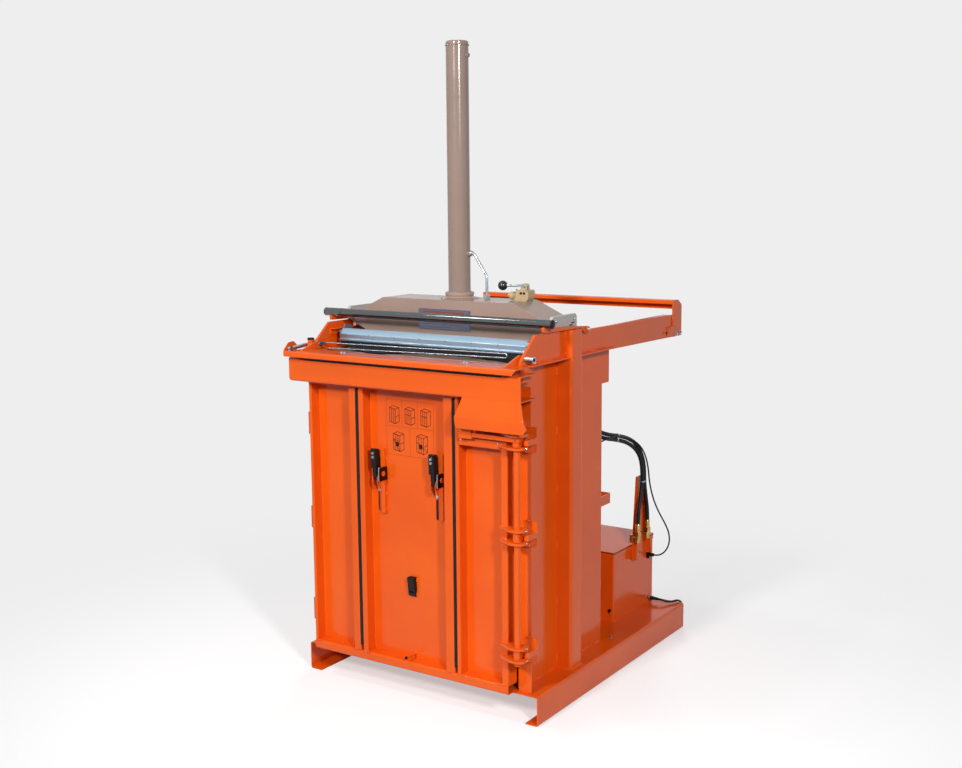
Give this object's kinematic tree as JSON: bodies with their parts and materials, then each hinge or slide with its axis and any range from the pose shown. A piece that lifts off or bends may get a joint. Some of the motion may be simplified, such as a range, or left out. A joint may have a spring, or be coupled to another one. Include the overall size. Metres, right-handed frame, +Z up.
{
  "type": "recycling baler",
  "caption": "Vertical baling press with a hinged ribbed front door, cam-bar lock, loading flap, hand handle, sliding cylinder head and separate power unit on a skid base.",
  "frame": {"origin": "on the floor under the middle of the machine's outer box, its free mains lead left out", "axes": "+Z up, +Y from the door towards the power unit, +X to the right of someone facing the door"},
  "size_m": [1.0182, 1.5647, 2.296],
  "materials": {
    "orange_enamel": "glossy orange enamel",
    "tan_enamel": "satin warm grey enamel",
    "light_grey_enamel": "satin light grey enamel",
    "zinc_steel": "zinc-plated sheet",
    "bare_steel": "bright drawn steel",
    "chrome_tube": "chromed tube",
    "brass_fitting": "yellow-passivated hydraulic fittings",
    "black_rubber": "matt black rubber",
    "black_plastic": "black moulded plastic",
    "knob_plastic": "polished black ball"
  },
  "bodies": {
    "frame": {"base_skid": "orange_enamel", "side_wall_left": "orange_enamel", "side_wall_right": "orange_enamel", "rear_wall": "orange_enamel", "rear_header": "orange_enamel", "columns": "orange_enamel", "side_plate_left": "orange_enamel", "side_plate_right": "orange_enamel", "rear_loop": "orange_enamel", "front_header": "orange_enamel", "closing_plate": "orange_enamel", "reel_bracket": "orange_enamel", "lock_keepers": "orange_enamel", "frame_hinges": "orange_enamel", "flap_pivots": "zinc_steel", "flap_bumper": "black_rubber", "strap_needle": "bare_steel", "power_unit_box": "orange_enamel", "power_unit_lid": "orange_enamel", "hose_mast": "orange_enamel", "hose_fittings": "brass_fitting", "signal_fittings": "black_plastic", "cable_gland": "black_rubber", "hydraulic_hoses": "black_rubber", "signal_cable": "black_rubber", "mains_lead": "black_rubber", "mains_coil": "black_rubber", "mains_plug": "black_rubber"},
    "door": {"door_section_left": "orange_enamel", "door_section_centre": "orange_enamel", "door_section_right": "orange_enamel", "door_top_rail": "orange_enamel", "door_bottom_rail": "orange_enamel", "door_short_rail": "orange_enamel", "door_hinges": "orange_enamel", "lock_ears": "orange_enamel", "tensioner_brackets": "orange_enamel", "knife_holder": "black_plastic"},
    "lock": {"lock_bar": "orange_enamel", "lock_lever": "orange_enamel"},
    "tensioner_left": {"tensioner_lever_left": "black_plastic"},
    "tensioner_right": {"tensioner_lever_right": "black_plastic"},
    "flap": {"loading_flap": "orange_enamel"},
    "gas_rod": {"gas_spring_rod": "bare_steel"},
    "gas_tube": {"gas_spring_tube": "zinc_steel"},
    "head": {"head_beam": "tan_enamel", "head_end_plates": "light_grey_enamel", "head_slide_pads": "black_plastic", "cylinder_barrel": "tan_enamel", "cylinder_base": "tan_enamel", "head_pipe": "bare_steel", "valve_block": "brass_fitting", "front_guard": "zinc_steel", "guard_rubber": "black_rubber"},
    "platen": {"platen": "tan_enamel", "piston_rod": "bare_steel"},
    "valve": {"valve_lever": "brass_fitting", "valve_knob": "knob_plastic"},
    "handle": {"handle_bar": "chrome_tube", "handle_arms": "orange_enamel"}
  },
  "joints": [
    {"name": "door_hinge", "type": "hinge", "parent": "frame", "child": "door", "pos_m": [-0.462, -0.557, 0.6], "axis": [0, 0, -1], "range_deg": [0, 110]},
    {"name": "lock_turn", "type": "hinge", "parent": "door", "child": "lock", "pos_m": [0.448, -0.603, 0.6], "axis": [0, 0, 1], "range_deg": [-15, 25]},
    {"name": "tensioner_left_lever", "type": "hinge", "parent": "door", "child": "tensioner_left", "pos_m": [-0.161, -0.561, 0.784], "axis": [1, 0, 0], "range_deg": [0, 75]},
    {"name": "tensioner_right_lever", "type": "hinge", "parent": "door", "child": "tensioner_right", "pos_m": [0.09, -0.561, 0.79], "axis": [1, 0, 0], "range_deg": [0, 75]},
    {"name": "flap_hinge", "type": "hinge", "parent": "frame", "child": "flap", "pos_m": [-0.01, -0.527, 1.238], "axis": [-1, 0, 0], "range_deg": [0, 45]},
    {"name": "gas_spring_tilt", "type": "hinge", "parent": "frame", "child": "gas_rod", "pos_m": [-0.484, -0.327, 1.247], "axis": [-1, 0, 0], "range_deg": [0, 15.72]},
    {"name": "gas_spring_stroke", "type": "slide", "parent": "gas_rod", "child": "gas_tube", "axis": [0, 0.9983, 0.0583], "range_m": [0, 0.01959]},
    {"name": "head_slide", "type": "slide", "parent": "frame", "child": "head", "axis": [0, 1, 0], "range_m": [0, 0.58], "deforming": ["hydraulic_hoses"]},
    {"name": "platen_stroke", "type": "slide", "parent": "head", "child": "platen", "axis": [0, 0, 1], "range_m": [-0.78, 0]},
    {"name": "valve_lever_tilt", "type": "hinge", "parent": "head", "child": "valve", "pos_m": [0.251, -0.227, 1.45], "axis": [0, 1, 0], "range_deg": [-8, 15], "stiffness_Nm_per_rad": 4},
    {"name": "handle_swing", "type": "hinge", "parent": "frame", "child": "handle", "pos_m": [-0.01, -0.139, 1.301], "axis": [-1, 0, 0], "range_deg": [0, 20]}
  ],
  "couplings": [
    {"joint": "gas_spring_tilt", "follows": "flap_hinge", "ratio": 0.3449},
    {"joint": "gas_spring_stroke", "follows": "flap_hinge", "m_per_rad": 0.024558}
  ]
}
